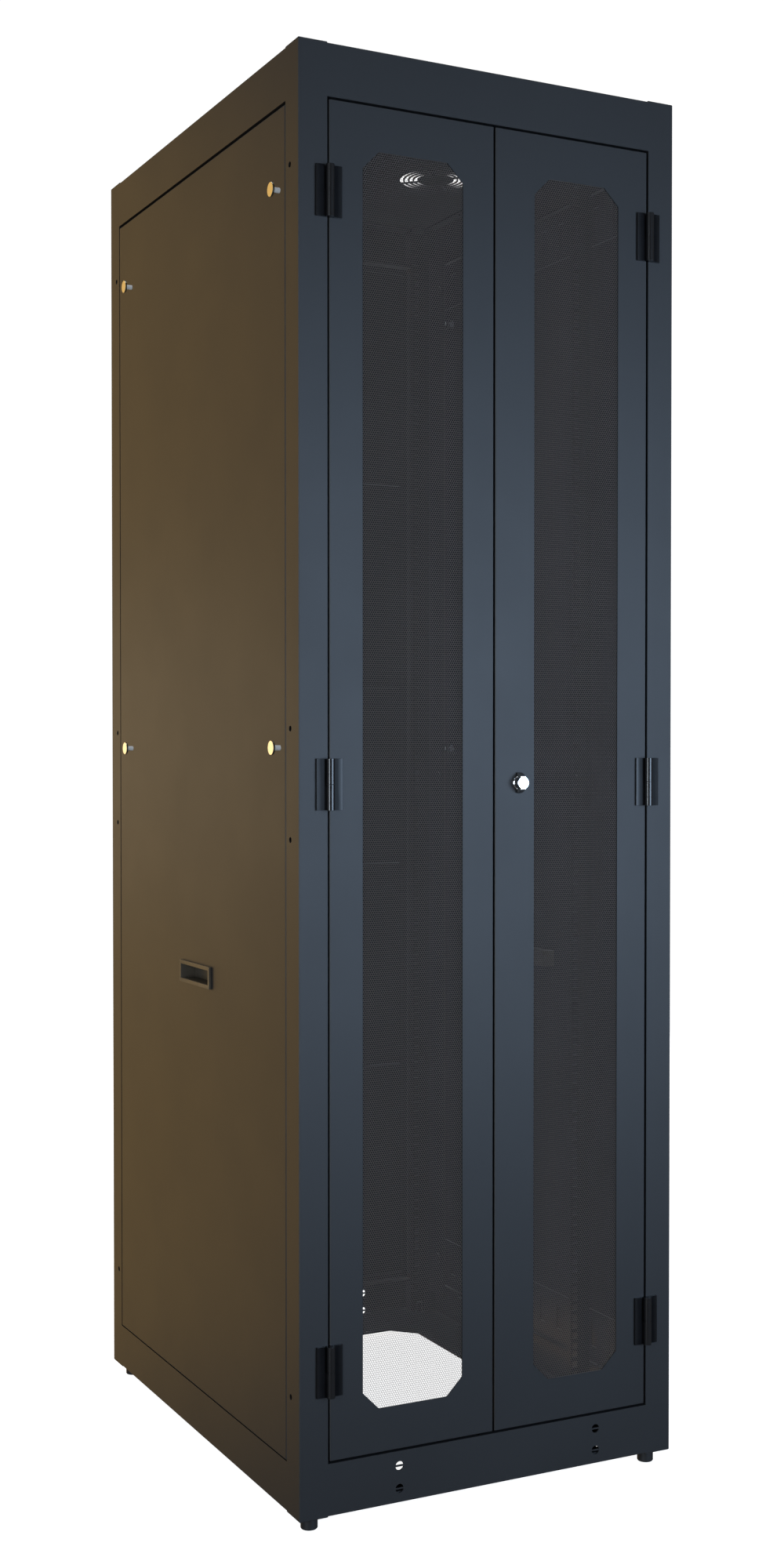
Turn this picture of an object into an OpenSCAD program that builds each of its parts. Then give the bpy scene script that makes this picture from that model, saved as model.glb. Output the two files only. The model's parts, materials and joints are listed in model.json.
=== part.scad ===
// Network server rack cabinet: a welded steel frame with split mesh front doors, a solid rear
// door, lift-off side panels and 19-inch rack rails. The origin is on the floor at the centre
// of the plan, +X to the right seen from the front, +Y to the back and +Z up.

/* [Cabinet] */
// Width over the side faces of the frame
body_w = 610; // [600:5:700]
// Depth over the front and rear faces of the frame
body_d = 786; // [736:50:1036]
// Height of the equipment bay in rack units
rack_units = 42; // [36:1:47]
// Gap between the floor and the frame
foot_h = 20; // [18:1:28]

/* [Frame] */
// Width of each face of a corner post
post_w = 43; // [42:1:46]
// Height of the top and bottom rails
rail_h = 74; // [70:1:90]
// Height of the side rails at the bottom
side_sill_h = 70.5; // [68:0.5:74]
// Thickness of the frame's sheet
frame_t = 2; // [1.5:0.5:2]
// How far the corner posts stand proud of the rails
corner_step = 1.5; // [1:0.5:2]
// Diameter of the holes that join cabinets side by side
bay_hole_d = 8; // [6:1:10]
// Diameter of the bridged holes in the front and rear bottom rails
bridge_hole_d = 12.7; // [8:0.1:14]

/* [Roof and floor] */
// Outer diameter of a fan grille's slots
fan_d = 120; // [100:1:122]
// Radial width of a slot in the fan grille
fan_slot = 5.6; // [4.5:0.1:5.8]
// Distance between a fan's mounting holes
fan_pitch = 105; // [100:0.5:106]
// Width of the cable opening in the floor
floor_open_w = 420; // [200:10:420]
// Corner chamfer of the cable opening
floor_chamfer = 37; // [10:1:60]

/* [Doors] */
// Gap around a door leaf
door_gap = 3; // [2.5:0.5:3.5]
// Depth of a door leaf
door_t = 18; // [17:1:19]
// Thickness of the door and panel sheet
skin_t = 1.5; // [1:0.5:1.5]
// Width of a door stile beside the window
stile_w = 50.2; // [48:0.1:56]
// Width of the stile that carries the latch
lock_stile_w = 64.3; // [62:0.1:70]
// Distance from the window to the leaf's ends
window_end = 61.5; // [50:0.5:120]
// Chamfer of the window corners
window_chamfer = 25; // [10:1:35]

/* [Hinges] */
// Height of a hinge
hinge_h = 70.5; // [50:0.5:90]
// Distance from the hinge pin to the outer edge of a leaf plate
hinge_reach = 19.3; // [15:0.1:22]
// Diameter of the knuckles
knuckle_d = 12; // [10:0.5:12]
// Diameter of the hinge pin
hinge_pin_d = 5; // [4:0.5:6]
// Distance from the opening's ends to the centres of the end hinges
hinge_inset = 128.5; // [100:0.5:160]

/* [Latch] */
// Diameter of the knob
knob_d = 18.4; // [16:0.1:20]
// How far the knob stands out from the door
knob_out = 13.5; // [10:0.5:16]
// Height of the knob's wings at the base
wing_h = 30; // [24:1:34]
// Length of the front latch's cam
front_cam_l = 50; // [48:1:52]
// Length of the rear latch's cam
rear_cam_l = 34; // [30:1:36]
// Travel of the flush bolts
bolt_travel = 14; // [8:1:16]

/* [Side panels] */
// Depth of the panel's folded edges
panel_t = 12; // [8:1:12]
// Width of the raised rim around the pull cup
cup_w = 126; // [90:1:150]
// Height of the raised rim around the pull cup
cup_h = 34; // [28:1:44]
// Diameter of a thumb screw's head
thumb_d = 20; // [16:1:24]
// How far a thumb screw stands out from the panel
thumb_out = 14; // [8:1:16]

/* [Rack rails] */
// Distance from the front face to the front rails
front_setback = 151; // [140:1:165]
// Distance from the rear face to the rear rails
rear_setback = 100; // [95:1:115]
// Side of the square cage-nut holes
cage_hole = 9.5; // [9.2:0.1:9.8]

/* [Hidden] */
$fn = 48;
eps = 1;
slip = 0.06;

// Equipment standard: height of one unit, hole offsets in it and width between hole centres
unit_h = 44.45;
unit_holes = [6.35, 22.225, 38.1];
rack_pitch = 465.1;
rack_clear = 451;

// Frame openings and heights
open_w = body_w - 2 * post_w;
open_d = body_d - 2 * post_w;
open_h = rack_units * unit_h;
body_h = open_h + 2 * rail_h;
z_open = foot_h + rail_h;
z_mid = foot_h + body_h / 2;
z_top = foot_h + body_h;

// Folds of the frame members
lip = 24;
ledge_w = 20;
roof_ledge = 2;
floor_ledge = 11;
stop_h = 12;
end_plate_t = 4;
z_floor = foot_h + corner_step + floor_ledge + frame_t;
sheet_t = 2;
sheet_gap = 0.5;
screw_in = 12;
screw_r = 2;
screw_l = 8;
screw_head_r = 4.5;
screw_head_t = 1.3;
front_screws = [-180, 0, 180];
side_screws = [-240, 0, 240];

// Holes that join cabinets: distance from the face, and heights about the middle
bay_in = 29;
bay_offsets = [-open_h / 2 + 90.5, -76.2, 76.2, open_h / 2 - 90.5];

// Bridged holes: places along the rail and heights above the frame's underside
bridge_x = [-151.7, 172.9];
bridge_z = [21.2, 53.1];
bridge_t = 2.2;

// Fan grilles and the floor's opening, with its corner holes measured out from the opening's corner
fan_x = 162;
fan_y = 88;
fan_rings = 4;
fan_web = 2.4;
fan_spoke = 4;
fan_hole_r = 2.15;
floor_front = 71.5;
floor_rear = 114.5;
corner_holes = [[15, 15], [47, -18], [-18, 47], [11, -78], [-78, 11]];
corner_hole_r = 3.5;

// Feet
foot_in = 26;
foot_r = 12;
foot_neck = 6;
stud_r = 5;
stud_h = 30;
nut_r = 9.8;
nut_h = 8;

// Door leaves
leaf_h = open_h - 2 * door_gap;
leaf_w = (open_w - 3 * door_gap) / 2;
leaf_lip = 12;
left_leaf_x = -open_w / 2 + door_gap;
right_leaf_x = door_gap / 2;
window_h = leaf_h - 2 * window_end;
left_window_w = leaf_w - 2 * stile_w;
right_window_w = leaf_w - stile_w - lock_stile_w;
mesh_t = 1;
mesh_lap = 12;

// Hinge pin, in front of the face so that a leaf can lie back on the frame
knuckle_r = knuckle_d / 2;
pin_x = open_w / 2 - door_gap / 2;
pin_y = knuckle_r + 0.2;
plate_t = 3;
knuckle_gap = 0.8;
leaf_slack = 0.2;
hinge_z = [z_open + hinge_inset, z_mid, z_open + open_h - hinge_inset];

// Latch
latch_x = 40.6;
rear_latch_x = open_w / 2 - door_gap - lock_stile_w / 2;
collar_t = 2.2;
latch_barrel_r = 8;
latch_barrel_l = 14;
stem_r = 6;
spigot_r = 4;
spigot_l = 6;
knob_slack = 0.2;
cam_t = 3;
cam_w = 14;
cam_nut_r = 7;
wing_w = 8.4;
wing_tip = 19;
front_cam_y = door_t + 2;
strike_w = 18;
strike_t = 2;
strike_h = 60;
strike_chamfer = 4;
rear_cam_y = lip + strike_t + 1.5;

// Flush bolts of the passive leaf
bolt_r = 4;
bolt_slack = 0.2;
bolt_x = left_leaf_x + leaf_w - 20;
bolt_y = 9.5;
bolt_grip_r = 3;
guide_w = 14;
guide_h = 6;
guide_in = 34;
guide_out = 15;
grip_gap = 22;
grip_to_guide = 40;
bolt_grip_z = guide_in + grip_gap + bolt_travel;
guide_z = [guide_in, bolt_grip_z + grip_to_guide];
bolt_past_guide = 20;
bolt_l = guide_z[1] + bolt_past_guide;
grip_l = 13;
grip_knob_r = 5;
grip_knob_t = 3;
keeper_bore_r = 4.5;

// Side panels
panel_gap = 2;
panel_top_gap = 4;
panel_foot_gap = 1;
panel_w = open_d - 2 * panel_gap;
panel_z = foot_h + side_sill_h + panel_foot_gap;
panel_h = z_open + open_h - panel_top_gap - panel_z;
cup_y = -6;
cup_z = foot_h + 710;
cup_rim = 4.5;
cup_rim_out = 3.8;
cup_wall = 1.5;
cup_depth = 22;
cup_slack = 0.2;
tab_y = [-200, 200];
tab_w = 30;
tab_t = 2;
tab_l = 30;
tab_rise = 5;
tab_clear = 1.5;

// Thumb screws: distance in from the front and the rear face, and heights about the middle
thumb_front = 64.5;
thumb_rear = 106;
thumb_z = [50, open_h / 2 - 116.5];
thumb_head_t = 3;
thumb_stem_r = 3.75;
thumb_thread_r = 3;
thumb_thread_l = 18;
thumb_ring_r = 6;
thumb_ring_t = 1.2;
thumb_ring_gap = 0.3;
keeper_in = 14;
keeper_t = 2;
keeper_h = 20;
keeper_hole_r = 3.4;
keeper_tab_in = 13;

// Rack rails and depth braces
rail_leg = 60;
rail_edge = 260;
rail_end_gap = 1;
brace_h = 76;
brace_inset = 67.75;
brace_z = [z_open + brace_inset, z_mid, z_open + open_h - brace_inset];
brace_slot_w = 16;
brace_slot_h = 38.1;
slot_inset = 85;
slot_pitch = 50.8;
slot_n = floor((body_d - 2 * slot_inset) / slot_pitch);
slot_0 = -slot_n * slot_pitch / 2;
front_bolt_y = slot_0 + 2 * slot_pitch;
rear_bolt_y = slot_0 + (slot_n - 1) * slot_pitch;
rail_bolt_r = 4;
rail_bolt_out = 10;
rail_bolt_head_r = 8;
rail_bolt_head_t = 2.5;
rail_nut_r = 7.5;
rail_nut_h = 8;
rail_nut_flange_r = 11;
rail_nut_flange_t = 1.6;

// Placing

// Mirrors left to right when asked
module flip_x(on) {
    if (on)
        mirror([1, 0, 0]) children();
    else
        children();
}

// Mirrors front to back when asked
module flip_y(on) {
    if (on)
        mirror([0, 1, 0]) children();
    else
        children();
}

// A round bar from the origin along +X
module along_x(r, l) {
    rotate([0, 90, 0]) cylinder(r = r, h = l);
}

// A round bar from the origin along +Y
module along_y(r, l) {
    rotate([-90, 0, 0]) cylinder(r = r, h = l);
}

// A rectangle with cut corners
module chamfered(w, h, c) {
    polygon([
        [c - w / 2, -h / 2], [w / 2 - c, -h / 2], [w / 2, c - h / 2], [w / 2, h / 2 - c],
        [w / 2 - c, h / 2], [c - w / 2, h / 2], [-w / 2, h / 2 - c], [-w / 2, c - h / 2]
    ]);
}

// Frame

// Plan of the front left post: two outer faces and two lips turned in
module post_profile() {
    difference() {
        square(post_w);
        translate([frame_t, frame_t]) square(post_w - 2 * frame_t);
        translate([lip, lip]) square(post_w);
    }
}

// Corner post with its end plates, the foot's hole and the holes that join cabinets
module post(right, rear) {
    color("dimgray")
    flip_x(right) flip_y(rear)
    translate([-body_w / 2, -body_d / 2, foot_h])
    difference() {
        union() {
            linear_extrude(body_h) post_profile();
            cube([post_w, post_w, end_plate_t]);
            translate([0, 0, body_h - end_plate_t]) cube([post_w, post_w, end_plate_t]);
        }
        translate([foot_in, foot_in, -eps]) cylinder(r = stud_r + slip, h = end_plate_t + 2 * eps);
        for (z = bay_offsets)
            translate([-eps, bay_in, body_h / 2 + z]) along_x(bay_hole_d / 2, frame_t + 2 * eps);
    }
}

// Section of a rail: outer wall, sheet ledge and lip at the opening
module rail_profile(inner, ledge) {
    square([frame_t, inner]);
    translate([0, ledge]) square([ledge_w, frame_t]);
    translate([0, inner - frame_t]) square([lip, frame_t]);
}

// Section of the stop that stands on the lip's edge
module stop_profile(inner) {
    translate([lip - frame_t, inner - frame_t]) square([frame_t, stop_h + frame_t]);
}

// Screw hole through a ledge
module ledge_hole(ledge) {
    translate([0, 0, ledge - eps]) cylinder(r = screw_r, h = frame_t + 2 * eps);
}

// Front rail, with its outer edge at z = 0, its outer face at y = 0 and its stop from the left end
module front_bar(ledge, stop_l) {
    inner = rail_h - corner_step;
    difference() {
        rotate([90, 0, 90]) translate([0, 0, -open_w / 2]) {
            linear_extrude(open_w) rail_profile(inner, ledge);
            linear_extrude(stop_l) stop_profile(inner);
        }
        for (x = front_screws)
            translate([x, screw_in, 0]) ledge_hole(ledge);
    }
}

// Left rail, with its outer edge at z = 0 and its outer face at x = 0
module side_bar(inner, ledge) {
    difference() {
        rotate([90, 0, 0]) translate([0, 0, -open_d / 2]) linear_extrude(open_d) {
            rail_profile(inner, ledge);
            stop_profile(inner);
        }
        for (y = side_screws)
            translate([screw_in, y, 0]) ledge_hole(ledge);
    }
}

// Hole through a rail's lip that a flush bolt enters
module bolt_keeper_hole() {
    translate([bolt_x, bolt_y, rail_h - corner_step - frame_t - eps])
        cylinder(r = keeper_bore_r, h = frame_t + 2 * eps);
}

// Round hole with a narrow bridge of metal left across it
module bridged_hole() {
    difference() {
        translate([0, -eps, 0]) along_y(bridge_hole_d / 2, frame_t + 2 * eps);
        translate([-bridge_hole_d, -2 * eps, -bridge_t / 2])
            cube([2 * bridge_hole_d, frame_t + 4 * eps, bridge_t]);
    }
}

// Two leaves need a stop along the front rails; the rear door needs it on the latch's half
function stop_length(rear) = rear ? open_w / 2 : open_w;

module rail_top_end(rear) {
    color("dimgray")
    flip_y(rear)
    translate([0, -body_d / 2, z_top - corner_step])
    mirror([0, 0, 1])
    difference() {
        front_bar(roof_ledge, stop_length(rear));
        if (!rear)
            bolt_keeper_hole();
    }
}

module rail_bottom_end(rear) {
    color("dimgray")
    flip_y(rear)
    translate([0, -body_d / 2, foot_h + corner_step])
    difference() {
        front_bar(floor_ledge, stop_length(rear));
        for (x = bridge_x, z = bridge_z)
            translate([x, 0, z - corner_step]) bridged_hole();
        if (!rear)
            bolt_keeper_hole();
    }
}

module rail_top_side(right) {
    color("dimgray")
    flip_x(right)
    translate([-body_w / 2, 0, z_top - corner_step])
    mirror([0, 0, 1])
    side_bar(rail_h - corner_step, roof_ledge);
}

// The bottom side rail's stop has a slot for each of the panel's tongues
module rail_bottom_side(right) {
    slot_h = tab_t + 2 * tab_clear;
    color("dimgray")
    flip_x(right)
    difference() {
        translate([-body_w / 2, 0, foot_h + corner_step])
            side_bar(side_sill_h - corner_step, floor_ledge);
        for (y = tab_y)
            translate([lip - body_w / 2, y, panel_z + tab_rise + tab_t / 2])
                cube([4 * frame_t, tab_w + 2 * tab_clear, slot_h], center = true);
    }
}

// Roof and floor

// Plan of a sheet that lies on the ledges and clears the four posts
module sheet_outline() {
    inset = frame_t + sheet_gap;
    difference() {
        square([body_w - 2 * inset, body_d - 2 * inset], center = true);
        for (x = [-1, 1], y = [-1, 1])
            translate([x * body_w / 2, y * body_d / 2])
                square(2 * (post_w + sheet_gap), center = true);
    }
}

// Places of the screws that hold a sheet to the ledges
function screw_spots() = concat(
    [for (x = front_screws, s = [-1, 1]) [x, s * (body_d / 2 - screw_in)]],
    [for (y = side_screws, s = [-1, 1]) [s * (body_w / 2 - screw_in), y]]
);

module screw_holes() {
    for (p = screw_spots())
        translate(p) circle(r = screw_r);
}

// Concentric ring slots with four spokes, and the fan's four mounting holes
module fan_grille() {
    for (i = [0 : fan_rings - 1]) {
        r = fan_d / 2 - i * (fan_slot + fan_web);
        difference() {
            circle(r = r);
            circle(r = r - fan_slot);
            for (a = [45, 135])
                rotate(a) square([fan_d + eps, fan_spoke], center = true);
        }
    }
    for (x = [-1, 1], y = [-1, 1])
        translate([x * fan_pitch / 2, y * fan_pitch / 2]) circle(r = fan_hole_r);
}

module roof_panel() {
    color("dimgray")
    translate([0, 0, z_top - corner_step - sheet_t])
    linear_extrude(sheet_t)
    difference() {
        sheet_outline();
        screw_holes();
        for (x = [-1, 1], y = [-1, 1])
            translate([x * fan_x, y * fan_y]) fan_grille();
    }
}

// Floor with the cable opening and five anchor holes at each of its corners
module floor_pan() {
    open_l = body_d - floor_front - floor_rear;
    open_y = (floor_front - floor_rear) / 2;
    color("dimgray")
    translate([0, 0, z_floor])
    linear_extrude(sheet_t)
    difference() {
        sheet_outline();
        screw_holes();
        translate([0, open_y]) chamfered(floor_open_w, open_l, floor_chamfer);
        for (h = corner_holes, x = [-1, 1], y = [-1, 1])
            translate([x * (floor_open_w / 2 + h[0]), open_y + y * (open_l / 2 + h[1])])
                circle(r = corner_hole_r);
    }
}

// Low-headed screw standing on z = 0
module sheet_screw() {
    cylinder(r = screw_head_r, h = screw_head_t);
    translate([0, 0, -screw_l]) cylinder(r = screw_r, h = screw_l + eps);
}

module sheet_screws() {
    roof_face = z_top - corner_step;
    color("black")
    for (p = screw_spots(), z = [roof_face, z_floor + sheet_t])
        translate([p[0], p[1], z]) sheet_screw();
}

// Rack rails and what carries them

// Angle with three square holes a unit in its face and a leg bolted to the braces
module rack_rail(right, rear) {
    face = rear ? rear_setback : front_setback;
    bolt_y = rear ? -rear_bolt_y : front_bolt_y;
    l = open_h - 2 * rail_end_gap;
    color("dimgray")
    flip_x(right) flip_y(rear)
    translate([-rail_edge, face - body_d / 2, z_open + rail_end_gap])
    difference() {
        union() {
            translate([0, frame_t, 0]) rotate([90, 0, 0]) linear_extrude(frame_t)
            difference() {
                square([rail_edge - rack_clear / 2, l]);
                for (u = [0 : rack_units - 1], h = unit_holes)
                    translate([rail_edge - rack_pitch / 2, u * unit_h + h - rail_end_gap])
                        square(cage_hole, center = true);
            }
            cube([frame_t, rail_leg, l]);
        }
        for (z = brace_z)
            translate([-eps, bolt_y + body_d / 2 - face, z - z_open - rail_end_gap])
                along_x(rail_bolt_r, frame_t + 2 * eps);
    }
}

// Slotted web with two end tabs against the posts' lips, for the left side
module depth_brace() {
    outer = body_w / 2 - keeper_tab_in;
    translate([-rail_edge - frame_t, 0, 0]) rotate([90, 0, 90]) linear_extrude(frame_t)
    difference() {
        square([open_d, brace_h], center = true);
        for (i = [0 : slot_n])
            translate([slot_0 + i * slot_pitch, 0])
                square([brace_slot_w, brace_slot_h], center = true);
    }
    for (s = [-1, 1])
        translate([-(outer + rail_edge) / 2, s * (open_d - frame_t) / 2, 0])
            cube([outer - rail_edge, frame_t, brace_h], center = true);
}

module depth_braces() {
    color("dimgray")
    for (side = [false, true], z = brace_z)
        flip_x(side) translate([0, 0, z]) depth_brace();
}

// Places every rail bolt, with the brace's outer face at x = 0
module at_rail_bolts() {
    for (side = [false, true], y = [front_bolt_y, rear_bolt_y], z = brace_z)
        flip_x(side) translate([-rail_edge - frame_t, y, z]) children();
}

module rail_bolts() {
    color("silver")
    at_rail_bolts() {
        translate([2 * frame_t, 0, 0]) along_x(rail_bolt_head_r, rail_bolt_head_t);
        translate([-rail_bolt_out, 0, 0])
            along_x(rail_bolt_r, rail_bolt_out + 2 * frame_t + eps);
    }
}

// Flanged hexagon nut
module rail_nuts() {
    color("silver")
    at_rail_bolts()
    difference() {
        union() {
            translate([-rail_nut_flange_t, 0, 0]) along_x(rail_nut_flange_r, rail_nut_flange_t);
            translate([-rail_nut_h, 0, 0]) rotate([0, 90, 0])
                cylinder(r = rail_nut_r, h = rail_nut_h - eps, $fn = 6);
        }
        translate([-rail_nut_h - eps, 0, 0]) along_x(rail_bolt_r, rail_nut_h + 2 * eps);
    }
}

// Bracket on the front left post's lip that takes a thumb screw's end
module keeper(reach) {
    translate([keeper_tab_in, 0, -keeper_h / 2])
        cube([lip - keeper_tab_in, frame_t, keeper_h]);
    difference() {
        translate([keeper_in, 0, -keeper_h / 2])
            cube([keeper_t, reach + keeper_h / 2, keeper_h]);
        translate([keeper_in - eps, reach, 0]) along_x(keeper_hole_r, keeper_t + 2 * eps);
    }
}

// Plate welded to the rear left post's lip, which the rear latch's cam turns behind
module latch_strike() {
    c = strike_chamfer;
    h = strike_h / 2;
    translate([-open_w / 2 - frame_t, body_d / 2 - lip, z_mid])
    rotate([90, 0, 0]) linear_extrude(strike_t)
        polygon([[0, -h], [strike_w - c, -h], [strike_w, c - h],
                 [strike_w, h - c], [strike_w - c, h], [0, h]]);
}

module keepers() {
    color("dimgray") {
        for (side = [false, true], rear = [false, true], z = thumb_z)
            flip_x(side) flip_y(rear)
            translate([-body_w / 2, -open_d / 2, z_mid + z])
                keeper((rear ? thumb_rear : thumb_front) - post_w);
        latch_strike();
    }
}

// Levelling feet

module foot(right, rear) {
    taper = 1.5;
    color("black")
    flip_x(right) flip_y(rear)
    translate([foot_in - body_w / 2, foot_in - body_d / 2, 0]) {
        cylinder(r1 = foot_r - 1, r2 = foot_r, h = taper);
        translate([0, 0, taper]) cylinder(r = foot_r, h = foot_h - foot_neck - taper);
        translate([0, 0, taper]) cylinder(r = stud_r, h = foot_h + stud_h - taper);
    }
}

module foot_lock_nuts() {
    color("silver")
    for (x = [-1, 1], y = [-1, 1])
        translate([x * (body_w / 2 - foot_in), y * (body_d / 2 - foot_in), foot_h + end_plate_t])
        difference() {
            cylinder(r = nut_r, h = nut_h, $fn = 6);
            translate([0, 0, -eps]) cylinder(r = stud_r + slip, h = nut_h + 2 * eps);
        }
}

// Hinges, about the pin at the origin with the cabinet's face at y = pin_y

// Left leaf plate, which carries the lower knuckle
module hinge_plate(bore_r) {
    half = hinge_h / 2 - leaf_slack;
    difference() {
        translate([0, 0, -hinge_h / 2])
        union() {
            translate([-hinge_reach, pin_y - plate_t, 0])
                cube([hinge_reach - knuckle_r - knuckle_gap, plate_t, hinge_h]);
            translate([-hinge_reach, pin_y - plate_t, 0])
                cube([hinge_reach, plate_t - leaf_slack, half]);
            cylinder(r = knuckle_r, h = half);
        }
        translate([0, 0, -hinge_h / 2 - eps]) cylinder(r = bore_r, h = half + 2 * eps);
    }
}

// Right leaf plate, which is the left one turned upside down
module hinge_plate_upper(bore_r) {
    rotate([0, 180, 0]) hinge_plate(bore_r);
}

// Places a hinge at each height on the left or the right of the front opening
module at_front_hinges(right) {
    for (z = hinge_z)
        translate([right ? pin_x : -pin_x, -body_d / 2 - pin_y, z]) children();
}

// Places the rear door's hinges, on the right seen from the front
module at_rear_hinges() {
    rotate([0, 0, 180]) at_front_hinges(false) children();
}

module hinge_frame_plates() {
    tight = hinge_pin_d / 2;
    color("black") {
        at_front_hinges(false) hinge_plate(tight);
        at_front_hinges(true) hinge_plate_upper(tight);
        at_rear_hinges() hinge_plate(tight);
    }
}

module hinge_pin() {
    cylinder(d = hinge_pin_d, h = hinge_h, center = true);
}

module hinge_pins() {
    color("silver") {
        at_front_hinges(false) hinge_pin();
        at_front_hinges(true) hinge_pin();
        at_rear_hinges() hinge_pin();
    }
}

module left_hinge_plates() {
    color("black") at_front_hinges(false) hinge_plate_upper(hinge_pin_d / 2 + slip);
}

module right_hinge_plates() {
    color("black") at_front_hinges(true) hinge_plate(hinge_pin_d / 2 + slip);
}

module rear_hinge_plates() {
    color("black") at_rear_hinges() hinge_plate_upper(hinge_pin_d / 2 + slip);
}

// Doors, with the lower left corner of the leaf's outer face at the origin

// Sheet tray with returned edges
module leaf_tray(w) {
    difference() {
        cube([w, door_t, leaf_h]);
        translate([skin_t, skin_t, skin_t])
            cube([w - 2 * skin_t, door_t - 2 * skin_t, leaf_h - 2 * skin_t]);
        translate([leaf_lip, skin_t, leaf_lip])
            cube([w - 2 * leaf_lip, door_t, leaf_h - 2 * leaf_lip]);
    }
}

// Cuts the window through the skin, with its middle at x
module window_cut(w, x) {
    translate([x, skin_t + eps, leaf_h / 2]) rotate([90, 0, 0]) linear_extrude(skin_t + 2 * eps)
        chamfered(w, window_h, window_chamfer);
}

// Mesh sheet behind a window
module mesh_sheet(w, x) {
    size = [w + 2 * mesh_lap, mesh_t, window_h + 2 * mesh_lap];
    translate([x, skin_t + mesh_t / 2, leaf_h / 2]) cube(size, center = true);
}

module at_left_leaf() {
    translate([left_leaf_x, -body_d / 2, z_open + door_gap]) children();
}

module at_right_leaf() {
    translate([right_leaf_x, -body_d / 2, z_open + door_gap]) children();
}

module left_leaf() {
    color("darkslategray")
    at_left_leaf()
    difference() {
        leaf_tray(leaf_w);
        window_cut(left_window_w, leaf_w / 2);
        for (z = [0, leaf_h])
            translate([bolt_x - left_leaf_x, bolt_y, z])
                cylinder(r = bolt_r + bolt_slack, h = 4 * skin_t, center = true);
    }
}

module left_mesh() {
    color("gray") at_left_leaf() mesh_sheet(left_window_w, leaf_w / 2);
}

module right_leaf() {
    color("darkslategray")
    at_right_leaf()
    difference() {
        leaf_tray(leaf_w);
        window_cut(right_window_w, lock_stile_w + right_window_w / 2);
        translate([latch_x - right_leaf_x, -eps, leaf_h / 2])
            along_y(latch_barrel_r, skin_t + 2 * eps);
    }
}

module right_mesh() {
    color("gray") at_right_leaf() mesh_sheet(right_window_w, lock_stile_w + right_window_w / 2);
}

// Flush bolts: each shoots past the end of the passive leaf into the frame

// Bolt with its end at z = 0 and its finger grip towards the back
module flush_bolt() {
    color("silver")
    translate([bolt_x, bolt_y - body_d / 2, 0]) {
        translate([0, 0, -bolt_l]) cylinder(r = bolt_r, h = bolt_l);
        translate([0, 0, -bolt_grip_z]) along_y(bolt_grip_r, grip_l);
        translate([0, grip_l, -bolt_grip_z]) along_y(grip_knob_r, grip_knob_t);
    }
}

// Two drilled blocks on the skin that guide a bolt
module bolt_guides() {
    for (z = guide_z)
        translate([bolt_x, -body_d / 2, -z - guide_h / 2])
        difference() {
            translate([-guide_w / 2, skin_t, 0]) cube([guide_w, guide_out - skin_t, guide_h]);
            translate([0, bolt_y, -eps]) cylinder(r = bolt_r + slip, h = guide_h + 2 * eps);
        }
}

// Places a bolt at the leaf's top, or upside down at its bottom
module at_bolt(top) {
    translate([0, 0, z_mid + (top ? leaf_h / 2 : -leaf_h / 2)])
    if (top)
        children();
    else
        mirror([0, 0, 1]) children();
}

module flush_bolt_top() {
    at_bolt(true) flush_bolt();
}

module flush_bolt_bottom() {
    at_bolt(false) flush_bolt();
}

module flush_bolt_guides() {
    color("silver") {
        at_bolt(true) bolt_guides();
        at_bolt(false) bolt_guides();
    }
}

// Quarter-turn latches, about the knob's axis with the door's outer face at y = 0

module at_front_latch() {
    translate([latch_x, -body_d / 2, z_mid]) children();
}

module at_rear_latch() {
    rotate([0, 0, 180]) translate([rear_latch_x, -body_d / 2, z_mid]) children();
}

// Collar on the face and barrel through the skin
module latch_collar() {
    color("lightgray")
    difference() {
        union() {
            translate([0, -collar_t, 0]) along_y(knob_d / 2 + 1, collar_t);
            along_y(latch_barrel_r, latch_barrel_l);
        }
        translate([0, -collar_t - eps, 0])
            along_y(stem_r + slip, collar_t + latch_barrel_l + 2 * eps);
    }
}

// Round knob with two sloping wings, its stem and the spigot that the cam sits on
module latch_knob(cam_y) {
    base = -collar_t - knob_slack;
    color("white") {
        translate([0, -knob_out, 0]) along_y(knob_d / 2, knob_out + base);
        translate([-wing_w / 2, 0, 0]) rotate([90, 0, 90]) linear_extrude(wing_w)
            polygon([[base, -wing_h / 2], [base, wing_h / 2],
                     [-knob_out, wing_tip / 2], [-knob_out, -wing_tip / 2]]);
        translate([0, base - eps, 0]) along_y(stem_r, cam_y - base + eps);
        translate([0, cam_y - eps, 0]) along_y(spigot_r, spigot_l + eps);
    }
}

// Cam with its nut, pointing up when the latch is open
module latch_cam(cam_y, cam_l) {
    color("silver")
    translate([0, cam_y, 0])
    difference() {
        union() {
            along_y(cam_w / 2 + 1, cam_t);
            translate([-cam_w / 2, 0, 0]) cube([cam_w, cam_t, cam_l]);
            rotate([-90, 0, 0]) cylinder(r = cam_nut_r, h = spigot_l, $fn = 6);
        }
        translate([0, -eps, 0]) along_y(spigot_r, spigot_l + 2 * eps);
    }
}

module latch_collar_front() {
    at_front_latch() latch_collar();
}

module latch_knob_front() {
    at_front_latch() latch_knob(front_cam_y);
}

module latch_cam_front() {
    at_front_latch() latch_cam(front_cam_y, front_cam_l);
}

module latch_collar_rear() {
    at_rear_latch() latch_collar();
}

module latch_knob_rear() {
    at_rear_latch() latch_knob(rear_cam_y);
}

module latch_cam_rear() {
    at_rear_latch() latch_cam(rear_cam_y, rear_cam_l);
}

// Rear door: a plain tray as wide as the opening, hinged on the right seen from the front

module at_rear_leaf() {
    rotate([0, 0, 180]) translate([-open_w / 2 + door_gap, -body_d / 2, z_open + door_gap])
        children();
}

module rear_door() {
    w = open_w - 2 * door_gap;
    color("darkslategray")
    at_rear_leaf()
    difference() {
        leaf_tray(w);
        translate([rear_latch_x + open_w / 2 - door_gap, -eps, leaf_h / 2])
            along_y(latch_barrel_r, skin_t + 2 * eps);
    }
}

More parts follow.
